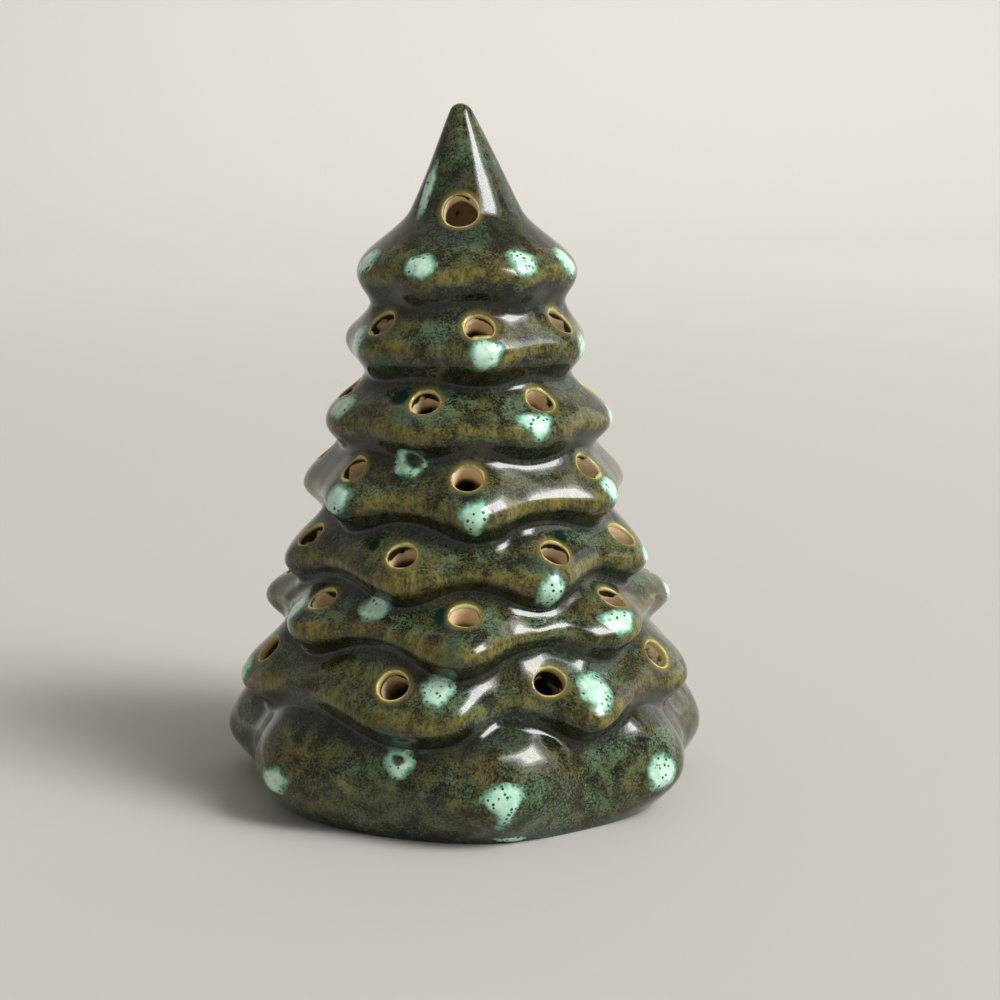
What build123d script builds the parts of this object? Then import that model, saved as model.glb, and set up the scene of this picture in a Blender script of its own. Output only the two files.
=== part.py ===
"""Ceramic christmas tree light cover with the tealight that it stands over.

Millimetres. The origin is on the tree's axis in the plane of its foot, +Z is up,
and -Y is the front. Angles around the tree are degrees from the front, positive
towards +X. Tier tables run from the bottom tier up.
"""

import math
import os
from bisect import bisect_right

from build123d import *

# Driving sizes of the tree
TREE_HEIGHT = 150.0
TREE_RADIUS = 54.5
WALL = 4.5
FOOT_RIM = 6.0
FOOT_ROUND = 1.5
TIP_ROUND = 2.6
TIP_LEAN = 1.3
LIGHT_HOLE_DIAMETER = 6.2
TOP_HOLE_DIAMETER = 7.4
TIP_SOLID = 8.0
DROP_DIAMETER = 6.6
DROP_RISE = 0.7
DROP_SINK = 1.3

# Driving sizes of the tealight
CUP_DIAMETER = 38.0
CUP_HEIGHT = 15.5
CUP_TAPER = 0.7
CUP_WALL = 0.3
CUP_CORNER = 1.6
CUP_BEAD = 1.0
WAX_DEPTH = 12.5
WAX_EDGE = 0.8
WAX_CLEARANCE = 0.25
WICK_DIAMETER = 1.6
WICK_RISE = 7.0
WICK_POINT = 0.4
PLATE_DIAMETER = 12.5
PLATE_THICKNESS = 0.4
NECK_DIAMETER = 2.8
NECK_HEIGHT = 4.5
CAST_GAP = 0.05

# How far cuts start outside the skin, and how finely the skin is drawn
OVERRUN = 3.0
SLOPE_STEP = 0.2
RING_POINTS = 84
RING_COUNT = 72

# Where the lips of the eight tiers lie between their branch tips, as shares of the
# tree's height and radius, and how far each tip reaches out and droops
LIP_HEIGHT_SHARES = (0.080, 0.194, 0.285, 0.364, 0.452, 0.557, 0.661, 0.767)
LIP_RADIUS_SHARES = (0.892, 0.851, 0.763, 0.686, 0.624, 0.558, 0.470, 0.439)
REACH_SHARES = (0.108, 0.081, 0.073, 0.061, 0.064, 0.028, 0.018, 0.017)
DROOP_SHARES = (0.013, 0.021, 0.019, 0.015, 0.010, 0.011, 0.007, 0.007)
TIP_SHARPNESS = (1.0, 1.3, 1.3, 1.3, 1.3, 1.0, 1.0, 1.0)

# The foot, and the necks between one tier and the next
FOOT_RADIUS_SHARE = 0.826
FOOT_REACH_SHARE = 0.15
NECK_HEIGHT_SHARES = (0.163, 0.262, 0.339, 0.428, 0.520, 0.617, 0.723)
NECK_RADIUS_SHARES = (0.798, 0.716, 0.642, 0.569, 0.503, 0.404, 0.389)
NECK_DROOP_SHARES = (0.031, 0.031, 0.024, 0.022, 0.009, 0.006, 0.006)
NECK_REACH_SHARE = 0.35

# How far each slope fills out from an even curve to a dome, and each underside to a fat roll
SLOPE_FULLNESS_SHARES = (0.7, 0.5, 0.5, 0.5, 0.5, 0.4, 0.0, 0.0)
DOME_POWER = 1.8
ROLL_FULLNESS_SHARE = 0.5
ROLL_POWER = 2.2

# The pointed top narrows through a waist
WAIST_HEIGHT_SHARE = 0.849
WAIST_RADIUS_SHARE = 0.224
TOP_SLOPE = 0.5
TIP_RING_SHARES = (0.6, 0.25, 0.06)
CAVITY_TOP_SHARE = 0.9

# Branch tips around each tier, in degrees from the front, and how strongly each was pulled out
TIP_ANGLES = (
    (-101, -52, 8, 54, 102, 160, 204),
    (-78, -18, 32, 73, 130, 182, 232),
    (-100, -54, -3, 46, 98, 150, 206),
    (-77, -22, 24, 70, 122, 175, 231),
    (-102, -48, 2, 55, 110, 157, 207),
    (-70, -20, 29, 80, 130, 180, 235),
    (-104, -57, 8, 63, 112, 160, 208),
    (-66, -25, 30, 66, 118, 180, 242),
)
TIP_STRENGTHS = (
    (1.25, 0.90, 0.80, 0.95, 0.98, 1.35, 1.35),
    (1.10, 1.00, 1.00, 0.85, 1.05, 0.95, 1.10),
    (1.05, 0.95, 1.05, 1.00, 0.95, 1.10, 0.90),
    (1.00, 1.00, 1.10, 0.95, 1.05, 0.90, 1.05),
    (1.05, 1.00, 1.10, 0.95, 0.80, 1.05, 0.95),
    (1.00, 0.80, 1.10, 1.00, 1.15, 0.90, 1.00),
    (0.90, 1.00, 1.20, 1.00, 0.80, 1.10, 1.00),
    (1.00, 1.10, 0.90, 1.00, 1.10, 0.90, 1.00),
)

# Light holes above the branch tips, in degrees from the front; the bottom tier has none.
# They are drilled from the skin to a share of the tree's radius, past the wall.
HOLE_ANGLES = (
    (-74, -20, 23, 66, 122, 182, 232),
    (-100, -52, -1, 52, 100, 150, 208),
    (-70, -22, 30, 68, 122, 172, 230),
    (-98, -50, 0, 55, 105, 157, 210),
    (-82, -20, 36, 90, 136, 180, 232),
    (-51, 6, 59, 110, 162, 212, 260),
)
HOLE_HEIGHT_SHARES = (0.222, 0.315, 0.391, 0.496, 0.594, 0.697)
TOP_HOLE_ANGLES = (-6, 114, 234)
TOP_HOLE_HEIGHT_SHARE = 0.852
HOLE_DEPTH_SHARE = 0.24

# Glaze drops as (angle, share of the tree's height): on the branch tips of each tier, then on slopes
DROP_PLACES_SHARES = (
    (-50, 0.067), (8, 0.070), (51, 0.075), (102, 0.075), (204, 0.070),
    (-79, 0.184), (34, 0.212), (130, 0.178), (182, 0.176),
    (-60, 0.298), (46, 0.293), (97, 0.274), (206, 0.275),
    (25, 0.340), (73, 0.354), (122, 0.353), (231, 0.353),
    (-49, 0.457), (2, 0.443), (59, 0.463), (157, 0.448), (207, 0.450),
    (-68, 0.574), (28, 0.562), (84, 0.547), (180, 0.550), (235, 0.550),
    (-64, 0.669), (10, 0.655), (68, 0.658), (160, 0.655), (208, 0.655),
    (-66, 0.780), (-25, 0.780), (31, 0.784), (66, 0.780), (118, 0.780), (242, 0.780),
    (-18, 0.112), (-8, 0.218), (-31, 0.312), (-25, 0.512), (-52, 0.882), (131, 0.520), (152, 0.235),
)

TIERS = range(len(LIP_HEIGHT_SHARES))


def tip_strength(angle, tier):
    """About 1 on a branch tip of the tier and 0 halfway to the next tip."""
    tips = sorted(zip((place % 360 for place in TIP_ANGLES[tier]), TIP_STRENGTHS[tier]))
    (first, first_strength), (last, last_strength) = tips[0], tips[-1]
    tips = [(last - 360, last_strength), *tips, (first + 360, first_strength)]
    right = bisect_right([place for place, strength in tips], angle % 360)
    (start, start_strength), (end, end_strength) = tips[right - 1], tips[right]
    turn = (angle % 360 - start) / (end - start)
    strength = start_strength if turn < 0.5 else end_strength
    return strength * (0.5 + 0.5 * math.cos(2 * math.pi * turn)) ** TIP_SHARPNESS[tier]


def skin_knots(angle):
    """Foot, lips, necks, waist and tip of one upright slice, as (height, radius, slope)."""
    tips = [tip_strength(angle, tier) for tier in TIERS]
    foot = FOOT_RADIUS_SHARE + FOOT_REACH_SHARE * REACH_SHARES[0] * tips[0]
    knots = [(0, TREE_RADIUS * foot, 0)]
    for tier in TIERS:
        height = LIP_HEIGHT_SHARES[tier] - DROOP_SHARES[tier] * tips[tier]
        radius = LIP_RADIUS_SHARES[tier] + REACH_SHARES[tier] * tips[tier]
        knots.append((TREE_HEIGHT * height, TREE_RADIUS * radius, 0))
        if tier + 1 in TIERS:
            height = NECK_HEIGHT_SHARES[tier] - NECK_DROOP_SHARES[tier] * tips[tier + 1]
            radius = NECK_RADIUS_SHARES[tier] + NECK_REACH_SHARE * REACH_SHARES[tier] * tips[tier]
            knots.append((TREE_HEIGHT * height, TREE_RADIUS * radius, 0))
    knots.append((TREE_HEIGHT * WAIST_HEIGHT_SHARE, TREE_RADIUS * WAIST_RADIUS_SHARE, -TOP_SLOPE))
    knots.append((tip_base_height, tip_base_radius, -TOP_SLOPE))
    return knots


def skin_radius(angle, height):
    """Radius of the outer skin: smooth curves from knot to knot, rounded at the foot and the tip."""
    if height > tip_base_height:
        return math.sqrt(max(0, TIP_ROUND**2 - (height - TREE_HEIGHT + TIP_ROUND) ** 2))
    knots = skin_knots(angle)
    upper = max(1, bisect_right([knot[0] for knot in knots[:-1]], height))
    (z0, r0, s0), (z1, r1, s1) = knots[upper - 1], knots[upper]
    span = z1 - z0
    t = (height - z0) / span
    ease = t * t * (3 - 2 * t)
    tier = (upper - 1) // 2
    if tier not in TIERS:
        fullness = 0
    elif upper % 2:
        fullness = ROLL_FULLNESS_SHARE * (1 - (1 - t) ** ROLL_POWER - ease)
    else:
        fullness = SLOPE_FULLNESS_SHARES[tier] * (t**DOME_POWER - ease)
    bend = span * t * (1 - t) * (s0 * (1 - t) - s1 * t)
    tuck = max(0, 1 - height / FOOT_ROUND)
    return r0 + (r1 - r0) * (ease + fullness) + bend - FOOT_ROUND * (1 - math.sqrt(1 - tuck**2))


def lean(height):
    """How far the hand-drawn tip has bent to the left of the axis."""
    above = max(0, height / TREE_HEIGHT - LIP_HEIGHT_SHARES[-1]) / (1 - LIP_HEIGHT_SHARES[-1])
    return -TIP_LEAN * above**2


def skin_point(angle, height):
    radius = skin_radius(angle, height)
    turn = math.radians(angle)
    return Vector(radius * math.sin(turn) + lean(height), -radius * math.cos(turn), height)


def skin_plane(angle, height):
    """Plane on the skin, its normal square to the slope of the tier there."""
    rise = skin_radius(angle, height + SLOPE_STEP) - skin_radius(angle, height - SLOPE_STEP)
    tilt = math.atan2(-rise, 2 * SLOPE_STEP)
    turn = math.radians(angle)
    across = math.cos(tilt)
    normal = (across * math.sin(turn), -across * math.cos(turn), math.sin(tilt))
    return Plane(origin=skin_point(angle, height), z_dir=normal)


def ring_face(height):
    """Flat slice through the skin."""
    marks = [point / RING_POINTS for point in range(RING_POINTS + 1)]
    ring = [skin_point(360 * mark, height) for mark in marks[:-1]]
    with BuildSketch(Plane.XY.offset(height)) as slice_through:
        with BuildLine():
            flat_ring = [Vector(point.X, point.Y) for point in ring]
            add(Edge.make_spline(flat_ring, periodic=True, parameters=marks))
        make_face()
    return slice_through.sketch.face()


# The tip is a ball that the pointed top runs into
tip_angle = math.atan2(1, TOP_SLOPE)
tip_rise = TIP_ROUND * (1 - math.cos(tip_angle))
tip_base_height = TREE_HEIGHT - tip_rise
tip_base_radius = TIP_ROUND * math.sin(tip_angle)

ring_step = (tip_base_height - FOOT_ROUND) / (RING_COUNT - 1)
ring_heights = [0, FOOT_ROUND / 3]
ring_heights += [FOOT_ROUND + ring_step * ring for ring in range(RING_COUNT)]
ring_heights += [TREE_HEIGHT - tip_rise * share for share in TIP_RING_SHARES]

# Turquoise drops: round caps of glaze, bedded in the skin
drop_depth = DROP_RISE + DROP_SINK
drop_ball = (DROP_DIAMETER**2 / 4 + drop_depth**2) / (2 * drop_depth)
drop_latitude = math.degrees(math.asin((drop_ball - drop_depth) / drop_ball))
drop_tops = []
for angle, height_share in DROP_PLACES_SHARES:
    drop_tops.append(skin_plane(angle, TREE_HEIGHT * height_share).offset(DROP_RISE))
inwards = (Align.CENTER, Align.CENTER, Align.MAX)
with BuildPart() as glaze_drops:
    with Locations(*drop_tops):
        Sphere(drop_ball, arc_size1=drop_latitude, align=inwards)

# Hollow clay shell: the wall is even at the necks and thicker behind the tiers
cavity_points = [(TREE_RADIUS * FOOT_RADIUS_SHARE - FOOT_RIM, 0)]
for neck_radius_share, neck_height_share in zip(NECK_RADIUS_SHARES, NECK_HEIGHT_SHARES):
    cavity_points.append((TREE_RADIUS * neck_radius_share - WALL, TREE_HEIGHT * neck_height_share))
for height_share in (WAIST_HEIGHT_SHARE, CAVITY_TOP_SHARE):
    height = TREE_HEIGHT * height_share
    cavity_points.append((skin_radius(0, height) - WALL, height))
cavity_points.append((0, TREE_HEIGHT - TIP_SOLID))

hole_reach = OVERRUN + TREE_RADIUS * HOLE_DEPTH_SHARE
light_holes = []
for angles, height_share in zip(HOLE_ANGLES, HOLE_HEIGHT_SHARES):
    light_holes += [skin_plane(angle, TREE_HEIGHT * height_share).offset(OVERRUN) for angle in angles]
top_holes = []
for angle in TOP_HOLE_ANGLES:
    top_holes.append(skin_plane(angle, TREE_HEIGHT * TOP_HOLE_HEIGHT_SHARE).offset(OVERRUN))

with BuildPart() as tree_shell:
    loft([ring_face(height) for height in ring_heights] + [Vertex(lean(TREE_HEIGHT), 0, TREE_HEIGHT)])
    with BuildSketch(Plane.XZ):
        with BuildLine():
            Spline(*cavity_points)
            Polyline(cavity_points[-1], (0, 0), cavity_points[0])
        make_face()
    revolve(axis=Axis.Z, mode=Mode.SUBTRACT)
    with Locations(*light_holes):
        Cylinder(LIGHT_HOLE_DIAMETER / 2, hole_reach, align=inwards, mode=Mode.SUBTRACT)
    with Locations(*top_holes):
        Cylinder(TOP_HOLE_DIAMETER / 2, hole_reach, align=inwards, mode=Mode.SUBTRACT)
    add(glaze_drops.part, mode=Mode.SUBTRACT)

# Pressed aluminium cup with a beaded mouth
cup_mouth = CUP_DIAMETER / 2 - CUP_BEAD + CUP_WALL
cup_base = cup_mouth - CUP_TAPER
with BuildPart() as tealight_cup:
    with BuildSketch(Plane.XZ) as cup_section:
        with BuildLine():
            Polyline(
                (0, 0),
                (cup_base, 0),
                (cup_mouth, CUP_HEIGHT),
                (cup_mouth - CUP_WALL, CUP_HEIGHT),
                (cup_base - CUP_WALL, CUP_WALL),
                (0, CUP_WALL),
                close=True,
            )
        make_face()
        fillet(cup_section.vertices().sort_by_distance((cup_base, 0))[0], CUP_CORNER)
        inner_corner = (cup_base - CUP_WALL, CUP_WALL)
        fillet(cup_section.vertices().sort_by_distance(inner_corner)[0], CUP_CORNER - CUP_WALL)
        with Locations((cup_mouth - CUP_WALL + CUP_BEAD / 2, CUP_HEIGHT - CUP_BEAD / 2)):
            Circle(CUP_BEAD / 2)
    revolve(axis=Axis.Z)

# Wax puck, cast round the wick and its plate
wax_floor = CUP_WALL
wax_top = wax_floor + WAX_DEPTH
wax_base_radius = cup_base - CUP_WALL - WAX_CLEARANCE
wax_top_radius = wax_base_radius + CUP_TAPER * WAX_DEPTH / CUP_HEIGHT
upwards = (Align.CENTER, Align.CENTER, Align.MIN)
with BuildPart() as tealight_wax:
    with BuildSketch(Plane.XZ) as wax_section:
        with BuildLine():
            Polyline(
                (0, wax_floor),
                (wax_base_radius, wax_floor),
                (wax_top_radius, wax_top),
                (0, wax_top),
                close=True,
            )
        make_face()
        fillet(wax_section.vertices().sort_by_distance((wax_base_radius, wax_floor))[0], CUP_CORNER)
        fillet(wax_section.vertices().sort_by_distance((wax_top_radius, wax_top))[0], WAX_EDGE)
    revolve(axis=Axis.Z)
    with Locations((0, 0, wax_floor)):
        Cylinder(PLATE_DIAMETER / 2 + CAST_GAP, PLATE_THICKNESS + CAST_GAP, align=upwards, mode=Mode.SUBTRACT)
        Cylinder(NECK_DIAMETER / 2 + CAST_GAP, NECK_HEIGHT + CAST_GAP, align=upwards, mode=Mode.SUBTRACT)
        Cylinder(WICK_DIAMETER / 2 + CAST_GAP, WAX_DEPTH + OVERRUN, align=upwards, mode=Mode.SUBTRACT)

# Tin plate with a crimped neck that holds the wick upright
with BuildPart() as wick_sustainer:
    with Locations((0, 0, wax_floor)):
        Cylinder(PLATE_DIAMETER / 2, PLATE_THICKNESS, align=upwards)
        Cylinder(NECK_DIAMETER / 2, NECK_HEIGHT, align=upwards)
        Cylinder(WICK_DIAMETER / 2 + CAST_GAP, NECK_HEIGHT, align=upwards, mode=Mode.SUBTRACT)

# Cotton wick, from the plate to above the wax
with BuildPart() as wick:
    with Locations((0, 0, wax_floor)):
        Cylinder(WICK_DIAMETER / 2, WAX_DEPTH + WICK_RISE, align=upwards)
    chamfer(wick.faces().sort_by(Axis.Z)[-1].edges(), WICK_POINT)

pieces = {
    "tree_shell": tree_shell,
    "glaze_drops": glaze_drops,
    "tealight_cup": tealight_cup,
    "tealight_wax": tealight_wax,
    "wick_sustainer": wick_sustainer,
    "wick": wick,
}
os.makedirs("parts", exist_ok=True)
for name, piece in pieces.items():
    piece.part.label = name
    export_step(piece.part, f"parts/{name}.step")
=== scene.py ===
"""Looks of the ceramic christmas tree light cover and its tealight.

Metres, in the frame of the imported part: the tree's axis is Z, its foot is at zero
and -Y is the front. Angles around the tree are degrees from the front, positive
towards +X. Tier tables run from the bottom tier up.
"""

import math

import bmesh
import bpy
import numpy as np
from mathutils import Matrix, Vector
from mathutils.bvhtree import BVHTree


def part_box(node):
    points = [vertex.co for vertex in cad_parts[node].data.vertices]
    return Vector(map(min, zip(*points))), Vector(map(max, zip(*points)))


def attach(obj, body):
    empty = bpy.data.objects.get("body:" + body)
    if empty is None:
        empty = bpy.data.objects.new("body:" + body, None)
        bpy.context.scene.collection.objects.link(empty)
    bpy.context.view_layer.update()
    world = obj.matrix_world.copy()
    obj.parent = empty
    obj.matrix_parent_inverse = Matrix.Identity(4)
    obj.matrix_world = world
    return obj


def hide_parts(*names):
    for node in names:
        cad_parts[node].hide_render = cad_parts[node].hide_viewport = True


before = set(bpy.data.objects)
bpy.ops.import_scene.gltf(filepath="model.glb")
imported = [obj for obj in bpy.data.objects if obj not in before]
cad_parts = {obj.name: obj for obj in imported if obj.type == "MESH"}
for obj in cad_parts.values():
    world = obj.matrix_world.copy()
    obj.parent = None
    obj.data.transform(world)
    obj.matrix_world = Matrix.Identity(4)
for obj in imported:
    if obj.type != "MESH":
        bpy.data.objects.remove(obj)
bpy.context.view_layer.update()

# Driving sizes of the tree
TREE_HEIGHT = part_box("tree_shell")[1].z
TREE_RADIUS = 0.0545
WALL = 0.0045
FOOT_RIM = 0.006
FOOT_ROUND = 0.0015
TIP_ROUND = 0.0026
TIP_LEAN = 0.0013
TIP_SOLID = 0.008
LIGHT_HOLE_RADIUS = 0.0031
TOP_HOLE_RADIUS = 0.0037
HOLE_DEPTH = 0.0131
TOP_HOLE_DEPTH = 0.0085
RIM_ROUND = 0.00055
HAND_WOBBLE = 0.00022
FINGER_RIDGE = 0.00025
DENT_REACH = 0.0038
CREASE_SOFT = 0.0014
RIDGE_ROWS = 3.3

# How the glaze follows the shape: how deep the holes count, how thin the glaze gets on edges
# How deep the holes count also sets where the painted shade inside them begins
TOP_DEPTH = 0.0035
LOW_DEPTH_SHARE = 0.5
LOWEST_EDGE = 0.55
POINT_EDGES = (0.15, 0.80)
RIM_ZONE = 14 * RIM_ROUND
RIM_FAR = 1.0
RIM_LIMIT_MM = 20
HOLE_WIDEN = 1.05
OVAL_FAR = 3.0
MM_PER_M = 1000

# Mesh fineness
COLUMNS = 384
INNER_COLUMNS = 128
INNER_ROWS = 44
UPPER_SLOPE_ROWS = 10
UNDERSIDE_ROWS = 8
FOOT_ROWS = 10
SHOULDER_ROWS = 16
POINT_ROWS = 20
CAP_ROWS = 6
HOLE_SEGMENTS = 48
RIM_STEPS = 7
DROP_SEGMENTS = 40
DROP_RINGS = 12
ON_SKIN_GAP = 2e-6
WELD_GAP = 1e-7

# Lips, necks, waist and tip of the skin, as shares of the tree's height and radius
LIP_HEIGHT_SHARES = (0.080, 0.194, 0.285, 0.364, 0.452, 0.557, 0.661, 0.767)
LIP_RADIUS_SHARES = (0.892, 0.851, 0.763, 0.686, 0.624, 0.558, 0.470, 0.439)
REACH_SHARES = (0.108, 0.081, 0.073, 0.061, 0.064, 0.028, 0.018, 0.017)
DROOP_SHARES = (0.013, 0.021, 0.019, 0.015, 0.010, 0.011, 0.007, 0.007)
TIP_SHARPNESS = (1.0, 1.3, 1.3, 1.3, 1.3, 1.0, 1.0, 1.0)
FOOT_RADIUS_SHARE = 0.826
FOOT_REACH_SHARE = 0.15
NECK_HEIGHT_SHARES = (0.163, 0.262, 0.339, 0.428, 0.520, 0.617, 0.723)
NECK_RADIUS_SHARES = (0.772, 0.704, 0.634, 0.560, 0.500, 0.404, 0.389)
NECK_DROOP_SHARES = (0.031, 0.031, 0.024, 0.022, 0.009, 0.006, 0.006)
NECK_REACH_SHARES = (0.60, 0.30, 0.25, 0.30, 0.35, 0.35, 0.35)
NECK_FOLLOW_SHARES = (0.50, 0.50, 0.40, 0.40, 0.20, 0.0, 0.0)
WAIST_HEIGHT_SHARE = 0.849
WAIST_RADIUS_SHARE = 0.224
TOP_SLOPE = 0.5
CAVITY_TOP_SHARE = 0.9
FOOT_ROW_SHARES = (0, 0.1, 0.27, 0.53, 1)

# How steeply each slope runs into the crease above it, and how far each underside fills to a fat roll
SLOPE_ENDS = (1.7, 0.8, 0.8, 0.8, 0.9, 0.9, 0.4, 0.0)
ROLL_FULLNESS_SHARE = 0.5
ROLL_POWER = 2.2

# Branch tips around each tier, in degrees from the front, and how strongly each was pulled out
TIP_ANGLES = (
    (-101, -52, 8, 54, 102, 160, 204),
    (-78, -18, 32, 73, 130, 182, 232),
    (-100, -54, -3, 46, 98, 150, 206),
    (-77, -22, 24, 70, 122, 175, 231),
    (-102, -48, 2, 55, 110, 157, 207),
    (-70, -20, 29, 80, 130, 180, 235),
    (-104, -57, 8, 63, 112, 160, 208),
    (-66, -25, 30, 66, 118, 180, 242),
)
TIP_STRENGTHS = (
    (1.25, 0.90, 0.80, 0.95, 0.98, 1.35, 1.35),
    (1.10, 1.00, 1.00, 0.85, 1.05, 0.95, 1.10),
    (1.05, 0.95, 1.05, 1.00, 0.95, 1.10, 0.90),
    (1.00, 1.00, 1.10, 0.95, 1.05, 0.90, 1.05),
    (1.05, 1.00, 1.10, 0.95, 0.80, 1.05, 0.95),
    (1.00, 0.80, 1.10, 1.00, 1.15, 0.90, 1.00),
    (0.90, 1.00, 1.20, 1.00, 0.80, 1.10, 1.00),
    (1.00, 1.10, 0.90, 1.00, 1.10, 0.90, 1.00),
)

# Valleys that lie off the middle between two tips, by tier and by the tip on their left
VALLEY_SKEWS = {(1, -18): 1.5}

# Light holes, in degrees from the front, from the second tier up and then round the top
HOLE_ANGLES = (
    (-74, -20, 23, 66, 122, 182, 232),
    (-100, -52, -1, 52, 100, 150, 208),
    (-70, -22, 30, 68, 122, 172, 230),
    (-98, -50, 0, 55, 105, 157, 210),
    (-82, -20, 36, 90, 136, 180, 232),
    (-51, 6, 59, 110, 162, 212, 260),
)
HOLE_HEIGHT_SHARES = (0.222, 0.315, 0.391, 0.496, 0.594, 0.697)
HOLE_DENT_SLOPES = (-0.35, 0.70, 0.45, 0.05, 0.10, 0.55)
TOP_HOLE_ANGLES = (-6, 114, 234)
TOP_HOLE_HEIGHT_SHARE = 0.852

# Thumb marks in the clay as (angle, share of the height, slope up the tree, slope to the right, reach)
THUMB_MARKS = (
    (12, 0.122, -0.42, 0.00, 0.0050),
    (33, 0.122, -0.55, 0.00, 0.0045),
    (45, 0.122, -0.50, 0.00, 0.0050),
    (5, 0.163, 0.75, 0.25, 0.0035),
    (5, 0.215, -0.55, 0.50, 0.0065),
    (19, 0.251, -0.30, 0.40, 0.0034),
    (32, 0.237, -0.40, -0.35, 0.0030),
    (15, 0.303, -0.68, -0.05, 0.0030),
    (28, 0.295, -0.62, 0.15, 0.0030),
    (12, 0.401, -0.40, 0.50, 0.0028),
    (112, 0.124, -0.25, 0.10, 0.0060),
    (186, 0.128, -0.25, -0.15, 0.0060),
    (152, 0.215, -0.50, 0.40, 0.0060),
    (205, 0.222, -0.45, -0.40, 0.0060),
    (-75, 0.300, -0.55, 0.20, 0.0035),
    (172, 0.300, -0.60, 0.10, 0.0035),
    (140, 0.400, -0.45, -0.30, 0.0030),
)

# Turquoise drops as (angle, share of the height, half width, rise above the middle, run below it, kind)
DROPS = (
    (-50, 0.068, 0.0040, 0.0031, 0.0029, "round"),
    (8, 0.078, 0.0042, 0.0034, 0.0078, "funnel"),
    (11, 0.008, 0.0034, 0.0013, 0.0010, "round"),
    (51, 0.075, 0.0038, 0.0036, 0.0036, "round"),
    (102, 0.075, 0.0033, 0.0033, 0.0036, "round"),
    (204, 0.070, 0.0035, 0.0033, 0.0050, "tear"),
    (-79, 0.184, 0.0033, 0.0033, 0.0033, "round"),
    (34, 0.206, 0.0038, 0.0046, 0.0048, "round"),
    (130, 0.178, 0.0034, 0.0032, 0.0040, "round"),
    (182, 0.176, 0.0033, 0.0032, 0.0046, "tear"),
    (-60, 0.296, 0.0034, 0.0034, 0.0035, "round"),
    (46, 0.292, 0.0042, 0.0026, 0.0030, "heart"),
    (97, 0.274, 0.0033, 0.0033, 0.0033, "round"),
    (206, 0.275, 0.0033, 0.0033, 0.0040, "round"),
    (25, 0.345, 0.0034, 0.0032, 0.0046, "run"),
    (73, 0.355, 0.0032, 0.0034, 0.0034, "round"),
    (122, 0.353, 0.0033, 0.0033, 0.0033, "round"),
    (231, 0.353, 0.0033, 0.0033, 0.0038, "round"),
    (-49, 0.457, 0.0038, 0.0034, 0.0032, "round"),
    (2, 0.448, 0.0030, 0.0036, 0.0046, "tear"),
    (59, 0.463, 0.0032, 0.0034, 0.0034, "round"),
    (157, 0.448, 0.0033, 0.0033, 0.0046, "tear"),
    (207, 0.450, 0.0033, 0.0033, 0.0034, "round"),
    (-68, 0.574, 0.0036, 0.0036, 0.0030, "round"),
    (28, 0.565, 0.0037, 0.0029, 0.0032, "heart"),
    (84, 0.547, 0.0033, 0.0033, 0.0033, "round"),
    (180, 0.550, 0.0034, 0.0033, 0.0042, "round"),
    (235, 0.550, 0.0033, 0.0033, 0.0033, "round"),
    (-64, 0.669, 0.0036, 0.0036, 0.0030, "round"),
    (8, 0.662, 0.0038, 0.0030, 0.0036, "heart"),
    (68, 0.658, 0.0033, 0.0034, 0.0036, "round"),
    (160, 0.655, 0.0033, 0.0033, 0.0040, "round"),
    (208, 0.655, 0.0033, 0.0033, 0.0033, "round"),
    (-66, 0.780, 0.0032, 0.0034, 0.0034, "round"),
    (-25, 0.780, 0.0033, 0.0032, 0.0032, "round"),
    (31, 0.784, 0.0032, 0.0034, 0.0033, "round"),
    (66, 0.780, 0.0033, 0.0036, 0.0034, "round"),
    (118, 0.780, 0.0033, 0.0033, 0.0036, "round"),
    (242, 0.780, 0.0034, 0.0033, 0.0033, "round"),
    (-18, 0.117, 0.0034, 0.0028, 0.0031, "ring"),
    (-8, 0.218, 0.0037, 0.0031, 0.0034, "heart"),
    (-31, 0.312, 0.0032, 0.0029, 0.0032, "round"),
    (-25, 0.511, 0.0032, 0.0033, 0.0035, "horn"),
    (-54, 0.880, 0.0018, 0.0058, 0.0062, "streak"),
    (131, 0.520, 0.0033, 0.0030, 0.0036, "round"),
    (152, 0.235, 0.0032, 0.0030, 0.0036, "round"),
)
DROP_RISE = 0.00030
DROP_DIP = 0.00004
DROP_SINK = 0.0006
DROP_MARGIN = 1.4
TRAIL_SHARE = 2
HOLLOW_LEVEL = 1.9
HOLLOW_FALL = 1.2

# Kinds of drop as (taper, waist, dottedness, streakiness, hollow share, hollow across, hollow up)
DROP_KINDS = {
    "round": (0.06, 0.0, 0.0, 0.0, 0, 0, 0),
    "heart": (0.20, 0.15, 0.0, 0.0, 0, 0, 0),
    "tear": (0.14, 0.32, 1.0, 0.0, 0, 0, 0),
    "funnel": (0.18, 0.58, 1.0, 0.2, 0, 0, 0),
    "run": (0.0, 0.0, 0.3, 1.0, 0, 0, 0),
    "streak": (0.0, 0.0, 0.3, 0.5, 0, 0, 0),
    "ring": (0.0, 0.0, 0.0, 0.0, 0.48, 0, 0.1),
    "horn": (0.0, 0.0, 0.0, 0.0, 0.80, 0.3, 0.28),
}

# Dark pools in the green glaze as (angle, share of the height, half width, half height)
POOLS = (
    (36, 0.406, 0.0019, 0.0013),
    (-34.5, 0.398, 0.0015, 0.0013),
    (-34, 0.596, 0.0025, 0.0014),
    (-8, 0.313, 0.0017, 0.0014),
    (0.5, 0.477, 0.0029, 0.0009),
    (112, 0.402, 0.0018, 0.0013),
    (168, 0.310, 0.0016, 0.0014),
    (240, 0.600, 0.0020, 0.0013),
)

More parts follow.
